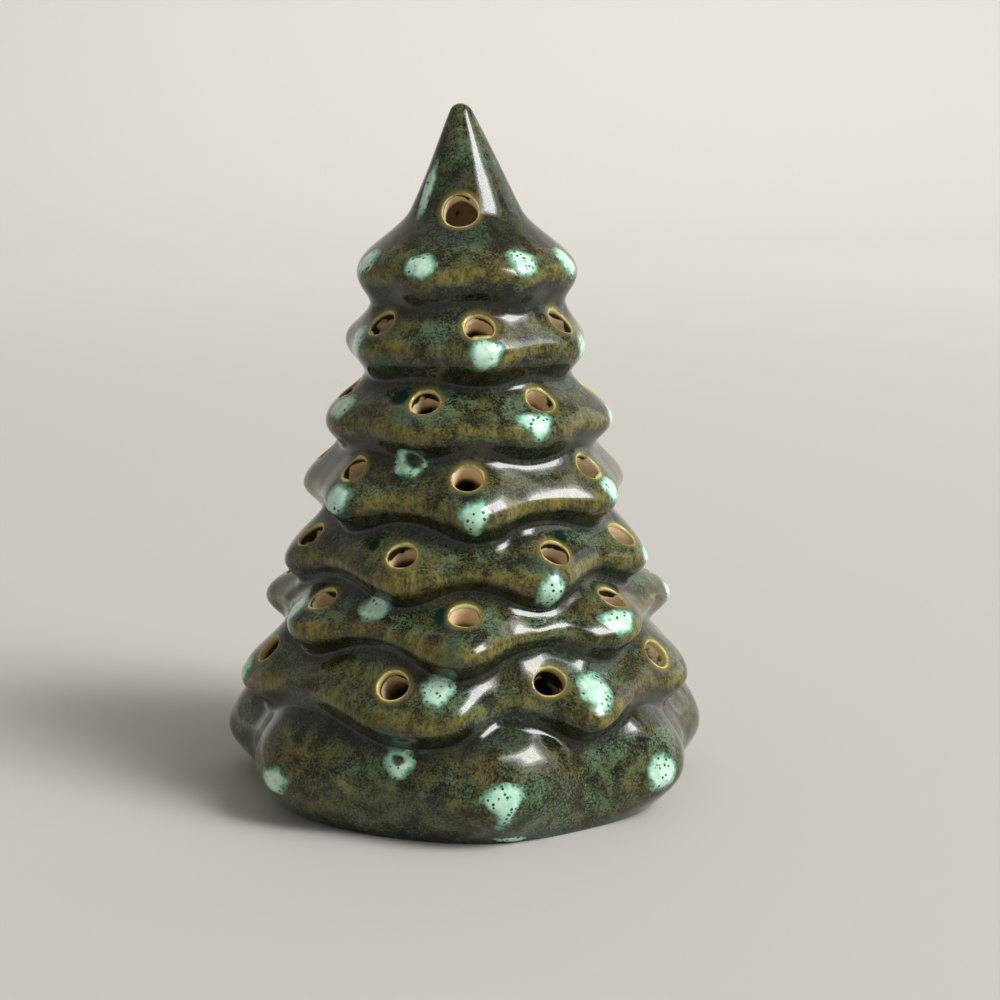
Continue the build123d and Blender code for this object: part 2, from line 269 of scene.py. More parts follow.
# Blue-green trails in the green glaze, written as the pools are
TRAILS = (
    (-4, 0.268, 0.0026, 0.0050),
    (-19, 0.150, 0.0032, 0.0040),
    (-27, 0.578, 0.0032, 0.0024),
    (-46, 0.642, 0.0030, 0.0024),
    (24, 0.372, 0.0030, 0.0030),
    (128, 0.160, 0.0030, 0.0036),
    (184, 0.150, 0.0030, 0.0040),
    (204, 0.256, 0.0028, 0.0044),
    (158, 0.430, 0.0030, 0.0036),
)

# Tealight sizes, inside the nodes that they stand for
CUP_SEGMENTS = 96
CUP_WALL = 0.0003
CUP_CORNER = 0.0016
CUP_BEAD_RADIUS = 0.0005
CUP_TAPER = 0.0007
CUP_RING_SHARES = (0.45, 0.75)
CUP_RING_HEIGHT = 0.00012
CUP_RING_STEPS = ((-1, 0), (-0.4, 1), (0.4, 1), (1, 0))
CUP_RING_WIDTH = 4 * CUP_RING_HEIGHT
CUP_BEND_SHARE = 0.7
CAST_GAP = 0.00005
WAX_EDGE = 0.0008
WAX_DISH = 0.0005
WAX_MENISCUS = 0.0004
MENISCUS_REACH = 0.0016
MENISCUS_SHARES = (0.25, 0.6, 1)
DISH_SHARES = (0.4, 0.7)
NECK_RADIUS = 0.0014
PLATE_THICKNESS = 0.0004
WICK_STRANDS = 3
WICK_TURNS = 5
STRAND_SEGMENTS = 12
STRAND_STEPS = 90
STRAND_SHARE = 0.5
STRAND_END_SHARE = 0.125
STRAND_END_LEAST = 0.04

# Shine of both glazes
GLAZE_IOR = 1.45
GLAZE_ROUGHNESS = (0.05, 0.11)
GLAZE_RIPPLE = 0.00005

# Camera and stage
CAMERA_DISTANCE = 0.45
CAMERA_HEIGHT = 0.152
CAMERA_PITCH = 11.12
CAMERA_YAW = 0.91
CAMERA_LENS = 74.45
SENSOR_WIDTH = 36
FLOOR_COLOUR = (0.53, 0.51, 0.48)
FLOOR_HALF_WIDTH = 2.0
FLOOR_FRONT = 1.5
FLOOR_DEPTH = 1.6
BACKDROP_BEND = 0.8
BACKDROP_HEIGHT = 3.0
LAMP_AIM = (0, 0, 0.07)
BACKDROP_AIM = (0, 1.9, 0.4)
WINDOW_WAY = (0.68, -0.38, 0.63)
ROOM_WAY = (0.72, -0.34, 0.60)
SIDE_WAY = (0.82, 0.50, 0.25)
BACKDROP_WAY = (0, -0.5, 0.85)
WORLD_COLOUR = (1.0, 0.955, 0.89, 1)
WORLD_STRENGTH = 0.34

TIERS = range(len(LIP_HEIGHT_SHARES))
tip_angle = math.atan2(1, TOP_SLOPE)
tip_rise = TIP_ROUND * (1 - math.cos(tip_angle))
tip_base_height = TREE_HEIGHT - tip_rise
tip_base_radius = TIP_ROUND * math.sin(tip_angle)

# Dents by the light holes below the top, and thumb marks: place, how they tilt the skin, and reach
dents = list(THUMB_MARKS)
for angles, height_share, slope in zip(HOLE_ANGLES, HOLE_HEIGHT_SHARES, HOLE_DENT_SLOPES):
    dents += [(angle, height_share, slope, 0, DENT_REACH) for angle in angles]
dents = np.array(dents)


# Shape of the skin

def tip_strength(angle, tier):
    """About 1 on a branch tip of the tier and 0 halfway to the next tip."""
    rows = zip(TIP_ANGLES[tier], TIP_STRENGTHS[tier])
    skewed = [(place % 360, strength, VALLEY_SKEWS.get((tier, place), 1)) for place, strength in rows]
    tips = sorted(skewed)
    tips = [(tips[-1][0] - 360, *tips[-1][1:]), *tips, (tips[0][0] + 360, *tips[0][1:])]
    places, strengths, skews = np.array(tips).T
    right = np.searchsorted(places, angle % 360, side="right")
    turn = (angle % 360 - places[right - 1]) / (places[right] - places[right - 1])
    turn = turn ** skews[right - 1]
    strength = np.where(turn < 0.5, strengths[right - 1], strengths[right])
    return strength * (0.5 + 0.5 * np.cos(2 * np.pi * turn)) ** TIP_SHARPNESS[tier]


def skin_knots(angle):
    """Heights, radii and slopes of foot, lips, necks, waist and tip base, one row per knot."""
    tips = [tip_strength(angle, tier) for tier in TIERS]
    level = np.ones_like(tips[0])
    heights = [0 * level]
    radii = [FOOT_RADIUS_SHARE + FOOT_REACH_SHARE * REACH_SHARES[0] * tips[0]]
    for tier in TIERS:
        heights.append(LIP_HEIGHT_SHARES[tier] - DROOP_SHARES[tier] * tips[tier])
        radii.append(LIP_RADIUS_SHARES[tier] + REACH_SHARES[tier] * tips[tier])
        if tier + 1 in TIERS:
            heights.append(NECK_HEIGHT_SHARES[tier] - NECK_DROOP_SHARES[tier] * tips[tier + 1])
            reach = NECK_REACH_SHARES[tier] * REACH_SHARES[tier] * tips[tier]
            follow = NECK_FOLLOW_SHARES[tier] * REACH_SHARES[tier + 1] * tips[tier + 1]
            radii.append(NECK_RADIUS_SHARES[tier] + reach + follow)
    heights += [WAIST_HEIGHT_SHARE * level, tip_base_height / TREE_HEIGHT * level]
    radii += [WAIST_RADIUS_SHARE * level, tip_base_radius / TREE_RADIUS * level]
    slopes = [0 * level] * (len(heights) - 2) + [-TOP_SLOPE * level] * 2
    return TREE_HEIGHT * np.array(heights), TREE_RADIUS * np.array(radii), np.array(slopes)


def skin_span(angle, height):
    """The knots below and above each point as (height, radius, slope), and which span it is in."""
    heights, radii, slopes = skin_knots(angle)
    upper = np.clip((height[None] >= heights[:-1]).sum(0), 1, len(heights) - 1)
    across = np.arange(height.size)
    below = [table[upper - 1, across] for table in (heights, radii, slopes)]
    above = [table[upper, across] for table in (heights, radii, slopes)]
    return below, above, upper


def wobble(angle, height):
    """Unevenness of a hand-made skin, from 0 to 1."""
    turn = np.radians(angle)
    waves = np.sin(2 * turn + 1.3 + 60 * height) + np.sin(3 * turn - 0.7 - 95 * height)
    waves += np.sin(5 * turn + 2.1 + 140 * height) + np.sin(9 * turn + 0.4 - 210 * height)
    return 0.5 + waves / 8


def dent_rise(angle, height, radius):
    """How far the dents push the skin out: each tilts it inwards going up and going right."""
    place, height_share, slope_up, slope_right, reach = (column[:, None] for column in dents.T)
    above = height - TREE_HEIGHT * height_share
    sideways = radius * np.radians((angle - place + 180) % 360 - 180)
    nearness = np.exp(-(sideways**2 + above**2) / (2 * reach**2))
    return -((slope_up * above + slope_right * sideways) * nearness).sum(0)


def skin_radius(angle, height):
    """Radius of the skin, softened where glaze has filled the creases."""
    sharp = sharp_radius(angle, height)
    beside = sharp_radius(angle, height - CREASE_SOFT) + sharp_radius(angle, height + CREASE_SOFT)
    softness = np.clip((TREE_HEIGHT * WAIST_HEIGHT_SHARE - height) / CREASE_SOFT / 4, 0, 0.5)
    return sharp + softness * (beside / 2 - sharp)


def sharp_radius(angle, height):
    """Radius before the glaze: smooth curves from knot to knot, rounded at the foot and the tip."""
    (z0, r0, s0), (z1, r1, s1), upper = skin_span(angle, height)
    span = z1 - z0
    t = np.clip((height - z0) / span, 0, 1)
    ease = t * t * (3 - 2 * t)
    tier = (upper - 1) // 2
    slope_fullness = np.append(SLOPE_ENDS, 0)[tier] * t * t * (t - 1)
    roll_fullness = ROLL_FULLNESS_SHARE * (tier < len(TIERS)) * (1 - (1 - t) ** ROLL_POWER - ease)
    fullness = np.where(upper % 2, roll_fullness, slope_fullness)
    bend = span * t * (1 - t) * (s0 * (1 - t) - s1 * t)
    tuck = np.clip(1 - height / FOOT_ROUND, 0, 1)
    side = r0 + (r1 - r0) * (ease + fullness) + bend - FOOT_ROUND * (1 - np.sqrt(1 - tuck**2))
    cap = np.sqrt(np.clip(TIP_ROUND**2 - (height - TREE_HEIGHT + TIP_ROUND) ** 2, 0, None))
    calm = np.clip((tip_base_height - height) / (TREE_HEIGHT - tip_base_height) / 8, 0, 1)
    side = side + dent_rise(angle, height, side) - HAND_WOBBLE * calm * wobble(angle, height)
    return np.where(height > tip_base_height, cap, side)


def lean(height):
    """How far the tip has bent to the left of the axis."""
    above = np.clip(height / TREE_HEIGHT - LIP_HEIGHT_SHARES[-1], 0, None) / (1 - LIP_HEIGHT_SHARES[-1])
    return -TIP_LEAN * above**2


def skin_points(angle, height):
    angle, height = np.broadcast_arrays(np.asarray(angle, float), np.asarray(height, float))
    flat_angle, flat_height = angle.ravel(), height.ravel()
    radius = skin_radius(flat_angle, flat_height)
    turn = np.radians(flat_angle)
    x = radius * np.sin(turn) + lean(flat_height)
    return np.stack([x, -radius * np.cos(turn), flat_height], -1).reshape(angle.shape + (3,))


def skin_normals(angle, height, step=0.0001):
    """Outward directions, square to the skin."""
    turn_step = math.degrees(step / TREE_RADIUS)
    around = skin_points(angle + turn_step, height) - skin_points(angle - turn_step, height)
    upwards = skin_points(angle, height + step) - skin_points(angle, height - step)
    normal = np.cross(around, upwards)
    return normal / np.linalg.norm(normal, axis=-1, keepdims=True)


def cavity_profile(rows):
    """Radii and heights of the inner wall, from the foot to its closed top."""
    points = [(TREE_RADIUS * FOOT_RADIUS_SHARE - FOOT_RIM, 0)]
    for radius_share, height_share in zip(NECK_RADIUS_SHARES, NECK_HEIGHT_SHARES):
        points.append((TREE_RADIUS * radius_share - WALL, TREE_HEIGHT * height_share))
    for height_share in (WAIST_HEIGHT_SHARE, CAVITY_TOP_SHARE):
        height = np.array([TREE_HEIGHT * height_share])
        points.append((skin_radius(np.zeros(1), height)[0] - WALL, height[0]))
    points.append((0, TREE_HEIGHT - TIP_SOLID))
    points = np.array(points)
    length = np.concatenate([[0], np.cumsum(np.linalg.norm(np.diff(points, axis=0), axis=1))])
    slopes = np.gradient(points, length, axis=0)
    places = np.linspace(0, length[-1], rows)
    right = np.clip(np.searchsorted(length, places, side="right"), 1, len(length) - 1)
    span = (length[right] - length[right - 1])[:, None]
    t = (places - length[right - 1])[:, None] / span
    start, end = points[right - 1], points[right]
    curve = (1 + 2 * t) * (1 - t) ** 2 * start + t * t * (3 - 2 * t) * end
    curve += span * t * (1 - t) * ((1 - t) * slopes[right - 1] - t * slopes[right])
    return curve


# Mesh helpers

def new_mesh(name, points, faces):
    mesh = bpy.data.meshes.new(name)
    mesh.from_pydata([tuple(p) for p in points], [], faces)
    mesh.shade_smooth()
    mesh.validate()
    thing = bpy.data.objects.new(name, mesh)
    bpy.context.scene.collection.objects.link(thing)
    return thing


def ring_faces(first, second, count):
    """Quads between two rings of count vertices that start at the given indices."""
    pairs = [(i, (i + 1) % count) for i in range(count)]
    return [(first + i, first + j, second + j, second + i) for i, j in pairs]


def set_attribute(mesh, name, values):
    attribute = mesh.attributes.new(name, "FLOAT", "POINT")
    attribute.data.foreach_set("value", np.asarray(values, np.float32))


def mesh_points(mesh):
    points = np.zeros(len(mesh.vertices) * 3, np.float32)
    mesh.vertices.foreach_get("co", points)
    return points.reshape(-1, 3).astype(float)


def lathe(name, profile, segments, closed=False):
    """Turned piece: profile points are (radius, height), and a point on the axis is one vertex."""
    turns = 2 * np.pi * np.arange(segments) / segments
    points, faces, starts = [], [], []
    for radius, height in profile:
        starts.append((len(points), radius > 0))
        places = turns if radius > 0 else turns[:1]
        points += [(radius * math.cos(turn), radius * math.sin(turn), height) for turn in places]
    pairs = list(zip(starts, starts[1:] + starts[:1] if closed else starts[1:]))
    for (first, first_round), (second, second_round) in pairs:
        if first_round and second_round:
            faces += ring_faces(first, second, segments)
        elif first_round:
            faces += [(first + i, first + (i + 1) % segments, second) for i in range(segments)]
        elif second_round:
            faces += [(first, second + (i + 1) % segments, second + i) for i in range(segments)]
    return new_mesh(name, points, faces)


def arc(centre, radius, start, end, steps):
    """Points of an arc in a profile, angles in degrees."""
    turns = np.radians(np.linspace(start, end, steps))
    return [(centre[0] + radius * math.cos(t), centre[1] + radius * math.sin(t)) for t in turns]


# Tree

def row_heights(angles):
    """Heights of the mesh rows for each column, which follow the lips and necks."""
    knots = skin_knots(angles)[0]
    rows = [np.full(angles.size, FOOT_ROUND * share) for share in FOOT_ROW_SHARES]
    counts = [FOOT_ROWS]
    counts += [UPPER_SLOPE_ROWS, UNDERSIDE_ROWS] * len(NECK_HEIGHT_SHARES)
    counts += [SHOULDER_ROWS, POINT_ROWS]
    for span, count in enumerate(counts):
        start = rows[len(FOOT_ROW_SHARES) - 1] if span == 0 else knots[span]
        rows += [start + (knots[span + 1] - start) * (step + 1) / count for step in range(count)]
    turns = tip_angle * (1 - np.arange(1, CAP_ROWS) / CAP_ROWS)
    rows += [np.full(angles.size, TREE_HEIGHT - TIP_ROUND * (1 - math.cos(turn))) for turn in turns]
    return np.array(rows)


def tree_blank():
    """The closed hollow shell before its holes are cut."""
    angles = 360 * np.arange(COLUMNS) / COLUMNS
    heights = row_heights(angles)
    skin = skin_points(angles[None].repeat(len(heights), 0), heights)
    points = [*skin.reshape(-1, 3), (lean(TREE_HEIGHT), 0, TREE_HEIGHT)]
    faces = []
    for row in range(len(heights) - 1):
        faces += ring_faces(row * COLUMNS, (row + 1) * COLUMNS, COLUMNS)
    top, apex = (len(heights) - 1) * COLUMNS, len(points) - 1
    faces += [(top + i, top + (i + 1) % COLUMNS, apex) for i in range(COLUMNS)]
    profile = cavity_profile(INNER_ROWS)
    turns = 2 * np.pi * np.arange(INNER_COLUMNS) / INNER_COLUMNS
    inner = len(points)
    for row, (radius, height) in enumerate(profile[:-1]):
        ridges = FINGER_RIDGE * np.sin(turns + 2 * np.pi * row / RIDGE_ROWS) * (0 < row < INNER_ROWS - 4)
        wall = radius - np.abs(ridges)
        points += [(r * math.sin(t), -r * math.cos(t), height) for r, t in zip(wall, turns)]
    points.append((0, 0, profile[-1][1]))
    for row in range(INNER_ROWS - 2):
        quads = ring_faces(inner + row * INNER_COLUMNS, inner + (row + 1) * INNER_COLUMNS, INNER_COLUMNS)
        faces += [quad[::-1] for quad in quads]
    top, apex = inner + (INNER_ROWS - 2) * INNER_COLUMNS, len(points) - 1
    faces += [(top + (i + 1) % INNER_COLUMNS, top + i, apex) for i in range(INNER_COLUMNS)]
    share = COLUMNS // INNER_COLUMNS
    for i in range(INNER_COLUMNS):
        outside = [(share * i + step) % COLUMNS for step in range(share + 1)]
        faces.append((inner + i, inner + (i + 1) % INNER_COLUMNS, *outside[::-1]))
    return new_mesh("tree", points, faces)


def hole_places():
    """Angle, height, radius and depth of every light hole."""
    places = []
    for angles, share in zip(HOLE_ANGLES, HOLE_HEIGHT_SHARES):
        places += [(angle, TREE_HEIGHT * share, LIGHT_HOLE_RADIUS, HOLE_DEPTH) for angle in angles]
    for angle in TOP_HOLE_ANGLES:
        places.append((angle, TREE_HEIGHT * TOP_HOLE_HEIGHT_SHARE, TOP_HOLE_RADIUS, TOP_HOLE_DEPTH))
    return places


def hole_frame(angle, height):
    """Middle of a hole on the skin, two directions across it and its outward axis."""
    place = np.array([float(angle)]), np.array([float(height)])
    middle, axis = skin_points(*place)[0], skin_normals(*place)[0]
    turn = math.radians(angle)
    across = np.array([math.cos(turn), math.sin(turn), 0])
    axis = axis - across * (axis @ across)
    axis /= np.linalg.norm(axis)
    return middle, across, np.cross(axis, across), axis


def rise_to_skin(points, axis, steps=12):
    """How far each point has to go along the axis to lie on the skin."""
    rise = np.zeros(len(points))
    lift = math.hypot(axis[0], axis[1])
    for _ in range(steps):
        moved = points + rise[:, None] * axis
        x, y, z = moved[:, 0] - lean(moved[:, 2]), moved[:, 1], moved[:, 2]
        angle = np.degrees(np.arctan2(x, -y))
        rise -= lift * (np.hypot(x, y) - skin_radius(angle, z))
    return np.clip(rise, -4 * RIM_ROUND, 4 * RIM_ROUND)


def hole_cutters():
    """One mesh of all the holes: pins whose mouths flare to a rounded rim that follows the skin."""
    turns = 2 * np.pi * np.arange(HOLE_SEGMENTS) / HOLE_SEGMENTS
    flare = np.radians(np.linspace(0, 90, RIM_STEPS))
    clear = RIM_ROUND / 20
    points, faces = [], []
    for number, (angle, height, radius, depth) in enumerate(hole_places()):
        middle, across, along, axis = hole_frame(angle, height)
        oval = radius * (1 + 0.03 * np.sin(2 * turns + number) + 0.015 * np.sin(3 * turns + 2 * number))
        rings = [(0, -depth, False), (0, -5 * RIM_ROUND - 0.1 * depth, False)]
        for a in flare:
            rings.append((RIM_ROUND * (1 - math.cos(a)), RIM_ROUND * (math.sin(a) - 1) + clear, True))
        rings.append((RIM_ROUND, 4 * RIM_ROUND, True))
        first = len(points)
        for widen, out, follows in rings:
            reach = (oval + widen)[:, None]
            spokes = np.cos(turns)[:, None] * across + np.sin(turns)[:, None] * along
            ring = middle + reach * spokes
            rise = rise_to_skin(ring, axis) if follows else np.zeros(HOLE_SEGMENTS)
            points += [*(ring + (rise + out)[:, None] * axis)]
        for ring in range(len(rings) - 1):
            start = first + ring * HOLE_SEGMENTS
            faces += ring_faces(start, start + HOLE_SEGMENTS, HOLE_SEGMENTS)
        faces.append(tuple(range(first, first + HOLE_SEGMENTS))[::-1])
        last = first + (len(rings) - 1) * HOLE_SEGMENTS
        faces.append(tuple(range(last, last + HOLE_SEGMENTS)))
    return new_mesh("hole_cutters", points, faces)


def cut(thing, cutter):
    """Cuts the cutter out of thing, and keeps the smooth shading that thing had on its own skin."""
    mesh = thing.data
    before = np.array([v.vector for v in mesh.vertex_normals])
    corners = [tuple(face.vertices) for face in mesh.polygons]
    tree = BVHTree.FromPolygons([v.co for v in mesh.vertices], corners)
    places = mesh_points(mesh)
    modifier = thing.modifiers.new("holes", "BOOLEAN")
    modifier.operation, modifier.solver, modifier.object = "DIFFERENCE", "MANIFOLD", cutter
    graph = bpy.context.evaluated_depsgraph_get()
    holed = bpy.data.meshes.new_from_object(thing.evaluated_get(graph))
    thing.modifiers.clear()
    thing.data = holed
    bpy.data.objects.remove(cutter)
    holed.shade_smooth()
    normals = np.array([v.vector for v in holed.vertex_normals])
    for vertex in holed.vertices:
        near, _, face, gap = tree.find_nearest(vertex.co)
        if gap < ON_SKIN_GAP:
            ends = list(corners[face])
            nearness = 1 / (np.linalg.norm(places[ends] - np.array(near), axis=1) + 1e-9)
            normal = nearness @ before[ends]
            normals[vertex.index] = normal / np.linalg.norm(normal)
    holed.normals_split_custom_set_from_vertices([tuple(n) for n in normals])


def edge_measure(angle, height):
    """1 on a lip, -1 in a neck, in between on the slopes; milder on the lowest tier and the point."""
    (z0, _, _), (z1, _, _), upper = skin_span(angle, height)
    t = np.clip((height - z0) / (z1 - z0), 0, 1)
    rises = upper % 2 == 1
    measure = np.cos(np.pi * np.where(rises, 1 - t, t))
    measure = np.where(upper == 1, -0.9 + 1.9 * t**1.5, measure)
    measure = np.where(upper <= 2, np.minimum(measure, LOWEST_EDGE), measure)
    last_lip = 2 * len(LIP_HEIGHT_SHARES) - 1
    measure = np.where(upper == last_lip + 1, np.cos(np.pi * np.minimum(t * 1.6, 0.9)), measure)
    start, end = POINT_EDGES
    return np.where(upper > last_lip + 1, start + (end - start) * t, measure)


def paint_measures(mesh):
    """Attributes for the glaze and its painted shade: edges, undersides, hole rims, pools, trails and
    depth below the skin.
    """
    points = mesh_points(mesh)
    x, y, z = points[:, 0] - lean(points[:, 2]), points[:, 1], np.clip(points[:, 2], 0, TREE_HEIGHT)
    angle = np.degrees(np.arctan2(x, -y))
    depth = skin_radius(angle, z) - np.hypot(x, y)
    upper = skin_span(angle, z)[2]
    rim = np.full(len(points), RIM_FAR)
    for place, height, radius, _ in hole_places():
        middle, _, _, axis = hole_frame(place, height)
        gap = points - middle
        away = np.linalg.norm(gap - np.outer(gap @ axis, axis), axis=1)
        near = np.linalg.norm(gap, axis=1) < radius + RIM_ZONE
        rim = np.where(near, np.minimum(rim, np.abs(away - radius)), rim)
        depth = np.where(near & (away < HOLE_WIDEN * radius), np.maximum(-(gap @ axis), 0), depth)
    # Near the top the depth is capped, so the clay seen through the top holes stays pale, without the
    # painted shade of the inside
    depth = np.where(z > TREE_HEIGHT * LIP_HEIGHT_SHARES[-1], np.minimum(depth, TOP_DEPTH), depth)
    # On the two lowest tiers the depth counts half, so the near-black glaze, partly painted shade,
    # reaches further into their holes
    depth = np.where(z < TREE_HEIGHT * NECK_HEIGHT_SHARES[1], LOW_DEPTH_SHARE * depth, depth)
    for name, ovals in (("pool", POOLS), ("trail", TRAILS)):
        nearest = np.full(len(points), OVAL_FAR)
        for place, share, width, rise in ovals:
            sideways = np.hypot(x, y) * np.radians((angle - place + 180) % 360 - 180)
            nearest = np.minimum(nearest, np.hypot(sideways / width, (z - TREE_HEIGHT * share) / rise))
        set_attribute(mesh, name, nearest)
    set_attribute(mesh, "edge", edge_measure(angle, z))
    set_attribute(mesh, "underside", (upper % 2 == 1) & (upper > 1))
    set_attribute(mesh, "rim", np.minimum(rim * MM_PER_M, RIM_LIMIT_MM))
    set_attribute(mesh, "depth", depth * MM_PER_M)


def make_tree():
    tree = tree_blank()
    cut(tree, hole_cutters())
    paint_measures(tree.data)
    return tree


def make_drops():
    """Drops of glaze that follow the skin, stand proud of it and sink into it at their edges."""
    turns = 2 * np.pi * np.arange(DROP_SEGMENTS) / DROP_SEGMENTS
    shares = np.linspace(0, 1, DROP_RINGS + 1)[1:]
    share = np.concatenate([[0], np.repeat(shares, DROP_SEGMENTS)])
    turn = np.concatenate([[0], np.tile(turns, DROP_RINGS)])
    points, faces, measures = [], [], []
    for number, (angle, height_share, width, rise, run, kind) in enumerate(DROPS):
        taper, waist, dotted, streaky, hollow, hollow_across, hollow_up = DROP_KINDS[kind]
        lobes = 1 + 0.06 * np.sin(2 * turn + 1.7 * number) + 0.05 * np.sin(3 * turn + 2.9 * number)
        lobes += 0.035 * np.sin(5 * turn + 4.1 * number)
        across, up = DROP_MARGIN * share * np.cos(turn), DROP_MARGIN * share * np.sin(turn)
        narrow = 1 - waist * np.sin(np.pi * np.clip(-up, 0, 1))
        sideways = width * lobes * across * narrow * (1 + taper * np.clip(up, -1.2, 1.2))
        upwards = np.where(up > 0, rise, run) * lobes * up
        spread = DROP_MARGIN * share
        if hollow:
            gap = np.hypot(across - hollow_across, up - hollow_up)
            spread = np.maximum(spread, HOLLOW_LEVEL - HOLLOW_FALL * gap / hollow)
        above, below = TRAIL_SHARE * rise, TRAIL_SHARE * run
        trail_heights, trail_lengths = meridian(angle, TREE_HEIGHT * height_share, above, below)
        heights = np.interp(upwards, trail_lengths, trail_heights)
        radius = np.hypot(*skin_points(np.full(heights.size, float(angle)), heights)[:, :2].T)
        around = angle + np.degrees(sideways / radius)
        skin, out = skin_points(around, heights), skin_normals(around, heights)
        proud = (DROP_RISE + DROP_DIP) * (1 - share**2) ** 2 - DROP_DIP
        sunk = -DROP_DIP - (DROP_SINK - DROP_DIP) * (1 - share**2)
        for level, face_up in ((proud, True), (sunk, False)):
            first = len(points)
            points += [*(skin + level[:, None] * out)]
            measures += [(amount, dotted, streaky) for amount in spread]
            rim = first + 1
            fan = [(first, rim + i, rim + (i + 1) % DROP_SEGMENTS) for i in range(DROP_SEGMENTS)]
            for ring in range(DROP_RINGS - 1):
                start = rim + ring * DROP_SEGMENTS
                fan += ring_faces(start + DROP_SEGMENTS, start, DROP_SEGMENTS)
            faces += fan if face_up else [face[::-1] for face in fan]
    drops = new_mesh("turquoise_drops", points, faces)
    for name, values in zip(("spread", "dotted", "streaky"), np.array(measures).T):
        set_attribute(drops.data, name, values)
    weld(drops.data)
    paint_measures(drops.data)
    return drops


def meridian(angle, height, above, below, steps=60):
    """Heights along the slope through a place, with their distances along the skin from it."""
    heights = np.linspace(max(height - 1.5 * below, 0), height + 1.5 * above, steps)
    trail = skin_points(np.full(steps, float(angle)), heights)
    lengths = np.concatenate([[0], np.cumsum(np.linalg.norm(np.diff(trail, axis=0), axis=1))])
    return heights, lengths - np.interp(height, heights, lengths)


def weld(mesh):
    """Joins vertices that lie on each other."""
    shape = bmesh.new()
    shape.from_mesh(mesh)
    bmesh.ops.remove_doubles(shape, verts=shape.verts, dist=WELD_GAP)
    shape.to_mesh(mesh)
    shape.free()
    mesh.shade_smooth()


# Tealight

def make_cup():
    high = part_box("tealight_cup")[1]
    top = high.z
    mouth = high.x - 2 * CUP_BEAD_RADIUS + CUP_WALL
    base = mouth - CUP_TAPER
    bead = (mouth - CUP_WALL + CUP_BEAD_RADIUS, top - CUP_BEAD_RADIUS)
    outside = [(0, 0)]
    for share in CUP_RING_SHARES:
        for step, lift in CUP_RING_STEPS:
            outside.append((base * share + step * CUP_RING_WIDTH, lift * CUP_RING_HEIGHT))
    outside += arc((base - CUP_CORNER, CUP_CORNER), CUP_CORNER, -90, 0, 7)
    bend = (mouth - CUP_TAPER * (1 - CUP_BEND_SHARE), top * CUP_BEND_SHARE)
    outside += [bend]
    outside += arc(bead, CUP_BEAD_RADIUS, -80, 175, 14)
    inner_round = CUP_CORNER - CUP_WALL
    inside = [(bend[0] - CUP_WALL, bend[1])]
    inside += arc((base - CUP_CORNER, CUP_CORNER), inner_round, 0, -90, 6)
    inside += [(0, CUP_WALL)]
    return lathe("cup", outside + inside, CUP_SEGMENTS)


def make_wax():
    low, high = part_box("tealight_wax")
    wick_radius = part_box("wick")[1].x
    plate_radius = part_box("wick_sustainer")[1].x
    neck_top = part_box("wick_sustainer")[1].z
    bore = wick_radius + CAST_GAP
    top, radius = high.z, high.x
    base_radius = radius - CUP_TAPER * (high.z - low.z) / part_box("tealight_cup")[1].z
    profile = [(bore, top - WAX_DISH + WAX_MENISCUS)]
    for share in MENISCUS_SHARES:
        profile.append((bore + MENISCUS_REACH * share, top - WAX_DISH + WAX_MENISCUS * (1 - share) ** 2))
    for share in DISH_SHARES:
        profile.append((radius * share, top - WAX_DISH * (1 - share**3)))
    profile += arc((radius - WAX_EDGE, top - WAX_EDGE), WAX_EDGE, 90, 0, 6)
    profile += arc((base_radius - CUP_CORNER, low.z + CUP_CORNER), CUP_CORNER, 0, -90, 6)
    plate_top = low.z + PLATE_THICKNESS + CAST_GAP
    profile += [(plate_radius + CAST_GAP, low.z), (plate_radius + CAST_GAP, plate_top)]
    profile += [(NECK_RADIUS + CAST_GAP, plate_top), (NECK_RADIUS + CAST_GAP, neck_top + CAST_GAP)]
    profile += [(bore, neck_top + CAST_GAP)]
    return lathe("wax_puck", profile[::-1], CUP_SEGMENTS, closed=True)


def make_plate():
    low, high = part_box("wick_sustainer")
    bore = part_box("wick")[1].x + CAST_GAP
    plate_top = low.z + PLATE_THICKNESS
    edge = PLATE_THICKNESS / 2
    profile = [(bore, low.z)]
    profile += arc((high.x - edge, low.z + edge), edge, -90, 90, 7)
    profile += [(NECK_RADIUS + 2 * edge, plate_top)]
    profile += arc((NECK_RADIUS + 2 * edge, plate_top + 2 * edge), 2 * edge, 270, 180, 5)[1:]
    profile += [(NECK_RADIUS, high.z - edge), (NECK_RADIUS - edge / 2, high.z), (bore, high.z)]
    return lathe("wick_plate", profile, CUP_SEGMENTS // 2, closed=True)


def make_wick():
    """Cotton strands laid round each other."""
    low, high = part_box("wick")
    strand = STRAND_SHARE * high.x
    away = high.x - strand
    turns = 2 * np.pi * np.arange(STRAND_SEGMENTS) / STRAND_SEGMENTS
    points, faces = [], []
    for number in range(WICK_STRANDS):
        first = len(points)
        for step in range(STRAND_STEPS + 1):
            share = step / STRAND_STEPS
            turn = 2 * math.pi * (WICK_TURNS * share + number / WICK_STRANDS)
            ends = min(1, share / STRAND_END_SHARE, (1 - share) / STRAND_END_SHARE)
            thick = strand * math.sqrt(max(1 - (1 - ends) ** 2, STRAND_END_LEAST))
            outwards = np.array([math.cos(turn), math.sin(turn), 0])
            onwards = np.array([-math.sin(turn), math.cos(turn), 0])
            middle = away * outwards + np.array([0, 0, low.z + share * (high.z - low.z)])
            for around in turns:
                side = math.cos(around) * outwards + math.sin(around) * onwards
                points.append(middle + thick * side)
        for step in range(STRAND_STEPS):
            start = first + step * STRAND_SEGMENTS
            faces += ring_faces(start, start + STRAND_SEGMENTS, STRAND_SEGMENTS)
        faces.append(tuple(range(first, first + STRAND_SEGMENTS))[::-1])
        last = first + STRAND_STEPS * STRAND_SEGMENTS
        faces.append(tuple(range(last, last + STRAND_SEGMENTS)))
    return new_mesh("braided_wick", points, faces)


# Materials

